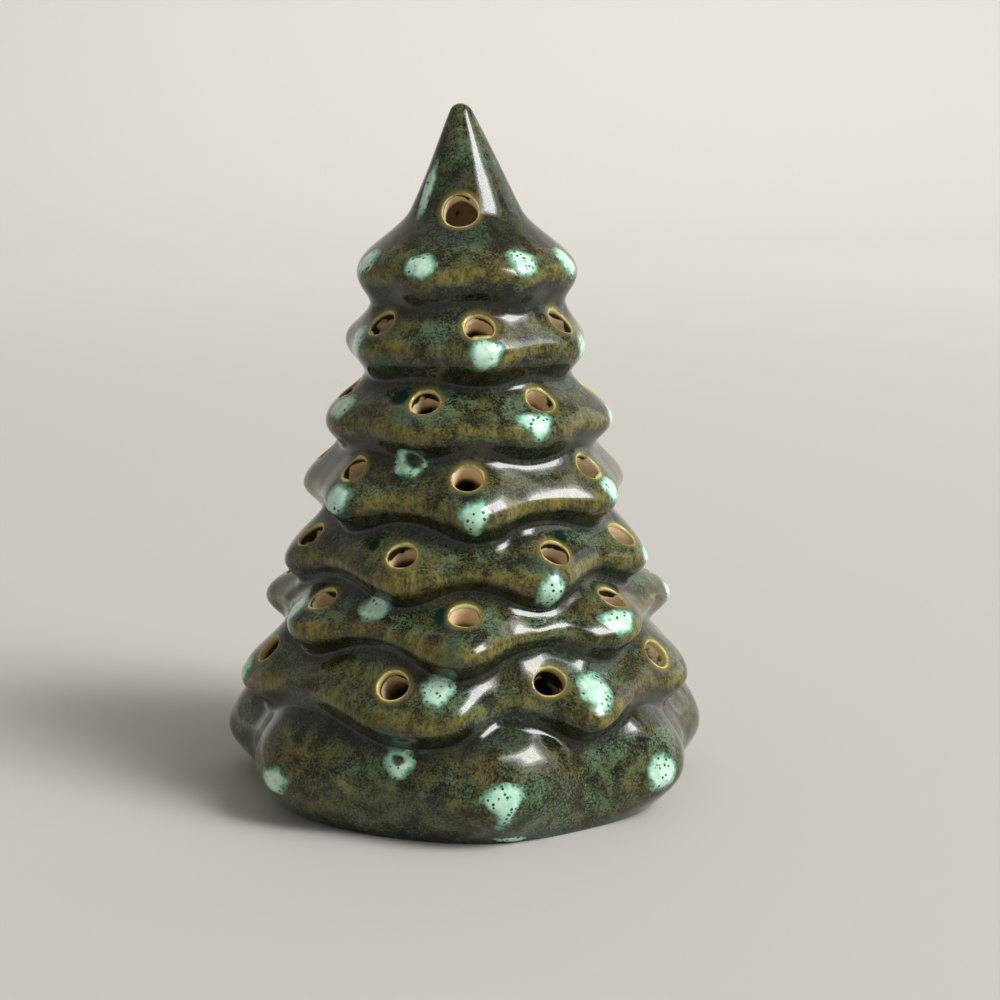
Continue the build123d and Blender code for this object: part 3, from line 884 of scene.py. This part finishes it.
class Shader:
    """Short ways to lay out the nodes of one material."""

    def __init__(self, name):
        self.material = bpy.data.materials.new(name)
        self.material.use_nodes = True
        self.nodes, self.links = self.material.node_tree.nodes, self.material.node_tree.links
        self.surface = self.nodes["Principled BSDF"]
        self.place = self.nodes.new("ShaderNodeTexCoord").outputs["Object"]

    def feed(self, socket, value):
        if isinstance(value, bpy.types.NodeSocket):
            self.links.new(value, socket)
        elif isinstance(value, tuple):
            socket.default_value = (*value, 1)
        else:
            socket.default_value = value

    def set(self, **values):
        for name, value in values.items():
            self.feed(self.surface.inputs[name.replace("_", " ")], value)

    def measure(self, name):
        node = self.nodes.new("ShaderNodeAttribute")
        node.attribute_name = name
        return node.outputs["Fac"]

    def noise(self, scale, detail=3.0, roughness=0.55, distortion=0.0, stretch=None):
        node = self.nodes.new("ShaderNodeTexNoise")
        place = self.place
        if stretch:
            mapping = self.nodes.new("ShaderNodeMapping")
            mapping.inputs["Scale"].default_value = stretch
            self.links.new(place, mapping.inputs["Vector"])
            place = mapping.outputs["Vector"]
        self.links.new(place, node.inputs["Vector"])
        for name, value in (("Scale", scale), ("Detail", detail), ("Roughness", roughness)):
            node.inputs[name].default_value = value
        node.inputs["Distortion"].default_value = distortion
        return node.outputs["Fac"]

    def cells(self, scale):
        node = self.nodes.new("ShaderNodeTexVoronoi")
        self.links.new(self.place, node.inputs["Vector"])
        node.inputs["Scale"].default_value = scale
        return node.outputs["Distance"]

    def math(self, operation, first, second=0.0, third=0.0):
        node = self.nodes.new("ShaderNodeMath")
        node.operation = operation
        for socket, value in zip(node.inputs, (first, second, third)):
            self.feed(socket, value)
        return node.outputs[0]

    def add(self, *terms):
        """Sum of (value, weight) pairs."""
        total = 0.0
        for value, weight in terms:
            total = self.math("MULTIPLY_ADD", value, weight, total)
        return total

    def step(self, value, low, high):
        """0 below low and 1 above high, smooth between them; low may be above high."""
        node = self.nodes.new("ShaderNodeMapRange")
        node.interpolation_type = "SMOOTHSTEP"
        self.feed(node.inputs["Value"], value)
        start, end, first, last = (low, high, 0.0, 1.0) if low < high else (high, low, 1.0, 0.0)
        numbers = {"From Min": start, "From Max": end, "To Min": first, "To Max": last}
        for name, number in numbers.items():
            node.inputs[name].default_value = number
        return node.outputs["Result"]

    def mix(self, factor, first, second):
        node = self.nodes.new("ShaderNodeMix")
        node.data_type = "RGBA"
        self.feed(node.inputs["Factor"], factor)
        self.feed(node.inputs[6], first)
        self.feed(node.inputs[7], second)
        return node.outputs[2]

    def blend(self, factor, first, second):
        node = self.nodes.new("ShaderNodeMix")
        self.feed(node.inputs["Factor"], factor)
        self.feed(node.inputs[2], first)
        self.feed(node.inputs[3], second)
        return node.outputs[0]

    def bump(self, height, distance):
        node = self.nodes.new("ShaderNodeBump")
        node.inputs["Distance"].default_value = distance
        self.links.new(height, node.inputs["Height"])
        self.links.new(node.outputs["Normal"], self.surface.inputs["Normal"])


def green_colour(s):
    """Dark green glaze, speckled blue-green, that breaks olive on edges and yellow at hole rims, with
    painted shade under the lips.
    """
    blotch = s.noise(58, 3, 0.55)
    cloud = s.noise(250, 4, 0.6, 0.3)
    patch = s.noise(95, 3, 0.55)
    grain = s.noise(2000, 3, 0.7)
    fleck = s.noise(1500, 3, 0.7)
    hatch = s.noise(1300, 3, 0.65, 0.2, (1, 1, 0.25))
    edge, underside, rim = s.measure("edge"), s.measure("underside"), s.measure("rim")
    pool, trail = s.measure("pool"), s.measure("trail")
    warm, cool = s.step(patch, 0.40, 0.66), s.step(patch, 0.60, 0.34)
    light = s.mix(warm, (0.092, 0.128, 0.060), (0.128, 0.112, 0.038))
    green = s.mix(s.step(s.add((grain, 0.65), (cloud, 0.60)), 0.53, 0.76), (0.005, 0.007, 0.003), light)
    browned = s.math("MULTIPLY", s.step(fleck, 0.48, 0.60), s.math("MULTIPLY_ADD", warm, 0.55, 0.25))
    green = s.mix(browned, green, (0.066, 0.052, 0.012))
    trailing = s.step(s.add((trail, 1.0), (cloud, 0.9)), 1.75, 1.0)
    bluish = s.add((edge, -0.18), (blotch, 0.5), (cloud, 0.9), (cool, 0.38), (trailing, 0.35))
    speck = s.step(s.add((fleck, -0.5), (grain, 0.5)), -0.01, 0.06)
    green = s.mix(s.math("MULTIPLY", speck, s.step(bluish, 0.84, 1.14)), green, (0.088, 0.150, 0.092))
    green = s.mix(s.math("MULTIPLY", s.step(edge, -0.5, -0.95), 0.6), green, (0.006, 0.008, 0.006))
    thin = s.add((edge, 0.60), (blotch, -0.95), (cloud, 0.40), (hatch, 0.14), (underside, -0.05))
    tone = s.step(s.add((hatch, 0.40), (cloud, 0.30), (grain, 0.30)), 0.41, 0.60)
    olive = s.mix(tone, (0.052, 0.046, 0.009), (0.215, 0.180, 0.036))
    broken = s.math("MULTIPLY_ADD", speck, -0.30, 0.95)
    colour = s.mix(s.math("MULTIPLY", s.step(thin, 0.10, 0.52), broken), green, olive)
    # Painted shade: the lips' undersides, away from their rounded edges, are darkened towards near-black
    underside_painted_shade = s.math("MULTIPLY", underside, s.step(edge, 0.75, 0.1))
    colour = s.mix(s.math("MULTIPLY", underside_painted_shade, 0.65), colour, (0.006, 0.008, 0.005))
    colour = s.mix(s.math("MULTIPLY", trailing, 0.45), colour, (0.036, 0.085, 0.055))
    dark_pool = s.add((pool, 1.0), (cloud, 0.5), (grain, 0.3))
    colour = s.mix(s.step(dark_pool, 1.6, 1.15), colour, (0.004, 0.020, 0.014))
    near_rim = s.add((rim, 1.0), (cloud, 1.2), (grain, 0.5))
    colour = s.mix(s.math("MULTIPLY", s.step(near_rim, 2.6, 1.2), 0.75), colour, (0.165, 0.138, 0.034))
    return s.mix(s.step(near_rim, 1.42, 0.95), colour, (0.56, 0.46, 0.17))


def glaze_ripple(s):
    """Broad waves, with small and fine ones on them."""
    broad, small, fine = (s.noise(scale, 2, 0.5) for scale in (180, 800, 2400))
    return s.add((broad, 0.6), (small, 0.16), (fine, 0.16))


def tree_material():
    s = Shader("green_glaze")
    colour = green_colour(s)
    depth = s.measure("depth")
    flow = s.add((depth, 1.0), (s.noise(150, 2, 0.5), 9.0), (s.noise(700, 3, 0.6), 1.5))
    # Inside the holes the glaze turns a flat near-black: partly the glaze's own colour, partly painted
    # shade of the hole
    wall = s.mix(s.step(depth, 0.35, 1.0), colour, (0.020, 0.020, 0.007))
    grain = s.noise(900, 5, 0.7)
    clay = s.mix(grain, (0.80, 0.60, 0.37), (0.90, 0.73, 0.49))
    # Painted shade: bare clay is darkened to dark brown from 3.6 mm below the skin, fully from 5.6 mm,
    # in the hole tunnels and the cavity
    clay = s.mix(s.step(depth, 3.6, 5.6), clay, (0.20, 0.135, 0.08))
    deep = s.step(depth, 0.5, 0.9)
    bare = s.math("MULTIPLY", s.step(flow, 6.4, 7.1), deep)
    s.set(Base_Color=s.mix(bare, wall, clay))
    s.set(Roughness=s.blend(bare, s.blend(s.noise(300, 3), *GLAZE_ROUGHNESS), 0.85))
    s.set(IOR=GLAZE_IOR)
    s.bump(s.blend(bare, glaze_ripple(s), s.math("MULTIPLY", grain, 6.0)), GLAZE_RIPPLE)
    return s.material


def drop_material():
    s = Shader("turquoise_glaze")
    green = green_colour(s)
    spread, dotted, streaky = s.measure("spread"), s.measure("dotted"), s.measure("streaky")
    streak = s.math("MULTIPLY", s.noise(700, 3, 0.6, 0.3, (1, 1, 0.16)), streaky)
    cloud = s.noise(420, 4, 0.6, 0.3)
    fine = s.noise(1500, 3, 0.6)
    fringe = s.add((spread, 1.0), (cloud, 1.0), (fine, 0.40), (streak, 0.9), (streaky, -0.40))
    haze = s.step(fringe, 2.12, 1.50)
    body = s.step(fringe, 1.90, 1.40)
    pale = s.mix(s.step(s.noise(520, 3, 0.5), 0.36, 0.64), (0.42, 0.67, 0.51), (0.58, 0.80, 0.67))
    pale = s.mix(s.math("MULTIPLY", dotted, 0.4), pale, (0.26, 0.50, 0.35))
    pale = s.mix(s.step(fringe, 1.25, 1.75), pale, (0.22, 0.45, 0.31))
    dots = s.step(s.add((s.cells(850), 1.0), (cloud, 0.3)), 0.50, 0.36)
    few = s.step(s.add((s.noise(190, 2), 1.0), (dotted, 0.35), (spread, 0.10)), 0.50, 0.62)
    colour = s.mix(haze, green, (0.065, 0.165, 0.105))
    colour = s.mix(body, colour, pale)
    dark = s.math("MULTIPLY", s.math("MULTIPLY", dots, few), haze)
    s.set(Base_Color=s.mix(dark, colour, (0.018, 0.070, 0.048)))
    s.set(Roughness=s.blend(s.noise(300, 3), *GLAZE_ROUGHNESS))
    s.set(IOR=GLAZE_IOR)
    s.bump(glaze_ripple(s), GLAZE_RIPPLE)
    return s.material


def cup_material():
    s = Shader("cup_metal")
    drawn = s.noise(500, 3, 0.6, 0, (1, 1, 0.08))
    s.set(Base_Color=s.mix(drawn, (0.70, 0.71, 0.72), (0.84, 0.85, 0.86)), Metallic=1.0)
    s.set(Roughness=s.blend(drawn, 0.22, 0.38))
    s.bump(drawn, 0.00004)
    return s.material


def wax_material():
    s = Shader("wax")
    cloud = s.noise(160, 4, 0.6)
    s.set(Base_Color=s.mix(cloud, (0.80, 0.77, 0.68), (0.88, 0.86, 0.79)))
    s.set(Roughness=s.blend(cloud, 0.38, 0.55), Subsurface_Weight=0.4, Subsurface_Scale=0.003)
    s.bump(s.noise(420, 3, 0.5), 0.00006)
    return s.material


def plate_material():
    s = Shader("tin_plate")
    stain = s.noise(700, 4, 0.6)
    s.set(Base_Color=s.mix(stain, (0.46, 0.46, 0.45), (0.62, 0.62, 0.61)), Metallic=1.0)
    s.set(Roughness=s.blend(stain, 0.3, 0.5))
    return s.material


def cotton_material():
    s = Shader("cotton")
    fibre = s.noise(2600, 4, 0.7, 0, (1, 1, 0.25))
    s.set(Base_Color=s.mix(fibre, (0.62, 0.58, 0.50), (0.84, 0.82, 0.76)), Roughness=0.85)
    s.bump(fibre, 0.00008)
    return s.material


# Pieces

def place(thing, material, body, node, slot):
    thing.data.materials.clear()
    thing.data.materials.append(material)
    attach(thing, body)
    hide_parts(node)


place(make_tree(), tree_material(), "tree", "tree_shell", "green_glaze")
place(make_drops(), drop_material(), "tree", "glaze_drops", "turquoise_glaze")
place(make_cup(), cup_material(), "tealight", "tealight_cup", "cup_metal")
place(make_wax(), wax_material(), "candle", "tealight_wax", "wax")
place(make_plate(), plate_material(), "candle", "wick_sustainer", "tin_plate")
place(make_wick(), cotton_material(), "candle", "wick", "cotton")


# Stage

def make_floor():
    """Floor that curves up into a backdrop."""
    line = [(-FLOOR_FRONT, 0), (FLOOR_DEPTH, 0)]
    for turn in np.radians(np.arange(10, 91, 10)):
        y = FLOOR_DEPTH + BACKDROP_BEND * math.sin(turn)
        line.append((y, BACKDROP_BEND * (1 - math.cos(turn))))
    line.append((FLOOR_DEPTH + BACKDROP_BEND, BACKDROP_HEIGHT))
    points = [(x, y, z) for y, z in line for x in (-FLOOR_HALF_WIDTH, FLOOR_HALF_WIDTH)]
    faces = [(2 * i, 2 * i + 1, 2 * i + 3, 2 * i + 2) for i in range(len(line) - 1)]
    floor = new_mesh("floor", points, faces)
    s = Shader("floor")
    s.set(Base_Color=FLOOR_COLOUR, Roughness=0.9, Specular_IOR_Level=0)
    floor.data.materials.append(s.material)


def lamp(name, towards, distance, size, radiance, aim=LAMP_AIM):
    """Soft rectangular lamp in a direction from the tree, with the brightness of its face."""
    light = bpy.data.lights.new(name, "AREA")
    light.shape = "RECTANGLE"
    light.size, light.size_y = size
    light.energy = radiance * math.pi * size[0] * size[1]
    thing = bpy.data.objects.new(name, light)
    bpy.context.scene.collection.objects.link(thing)
    direction = Vector(towards).normalized()
    thing.location = Vector(aim) + direction * distance
    thing.rotation_mode = "QUATERNION"
    thing.rotation_quaternion = direction.to_track_quat("Z", "Y")


def make_light():
    lamp("window", WINDOW_WAY, 6.0, (2.00, 2.40), 13)
    lamp("window_glow", WINDOW_WAY, 6.1, (3.00, 3.40), 5)
    lamp("room_glow", ROOM_WAY, 6.2, (4.80, 5.00), 1.6)
    lamp("side", SIDE_WAY, 1.8, (1.20, 1.00), 0.8)
    lamp("backdrop", BACKDROP_WAY, 1.0, (1.6, 0.4), 4, aim=BACKDROP_AIM)
    world = bpy.data.worlds.new("world")
    bpy.context.scene.world = world
    world.use_nodes = True
    background = world.node_tree.nodes["Background"]
    background.inputs["Color"].default_value = WORLD_COLOUR
    background.inputs["Strength"].default_value = WORLD_STRENGTH


def make_camera():
    data = bpy.data.cameras.new("camera")
    data.lens, data.sensor_width = CAMERA_LENS, SENSOR_WIDTH
    camera = bpy.data.objects.new("camera", data)
    bpy.context.scene.collection.objects.link(camera)
    camera.location = (0, -CAMERA_DISTANCE, CAMERA_HEIGHT)
    camera.rotation_euler = (math.radians(90 - CAMERA_PITCH), 0, math.radians(-CAMERA_YAW))
    bpy.context.scene.camera = camera


make_floor()
make_light()
make_camera()
bpy.context.scene.view_settings.view_transform = "Standard"
